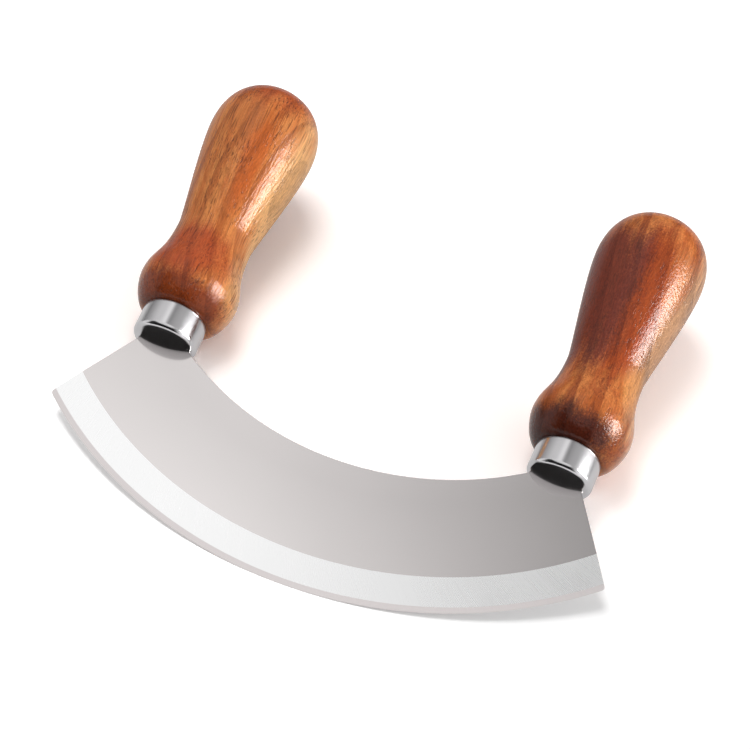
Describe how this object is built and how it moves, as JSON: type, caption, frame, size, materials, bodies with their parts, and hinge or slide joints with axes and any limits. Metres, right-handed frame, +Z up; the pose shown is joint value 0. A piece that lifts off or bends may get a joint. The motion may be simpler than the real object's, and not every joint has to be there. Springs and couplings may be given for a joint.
{
  "type": "mezzaluna",
  "caption": "Rocking chopper with a crescent steel blade, a wide ground bevel, plated ferrules and turned wooden grips, for mincing herbs and vegetables.",
  "frame": {"origin": "on the table plane, under the middle of the object's box as it lies on the table", "axes": "+X along the chord of the blade, from the left grip's side to the right grip's side; +Y along the table, from the cutting edge towards the grips; +Z up"},
  "size_m": [0.1794, 0.1622, 0.0463],
  "materials": {
    "blade_steel": "satin ground flats, brighter cross-ground bevel",
    "ferrule_chrome": "polished plating",
    "grip_wood": "red-brown stained hardwood under gloss lacquer",
    "adhesive": "cured clear epoxy"
  },
  "bodies": {
    "root": {"blade": "blade_steel", "ferrule_left": "ferrule_chrome", "ferrule_right": "ferrule_chrome", "handle_left": "grip_wood", "handle_right": "grip_wood", "tang_adhesive_left": "adhesive", "tang_adhesive_right": "adhesive"}
  },
  "joints": []
}
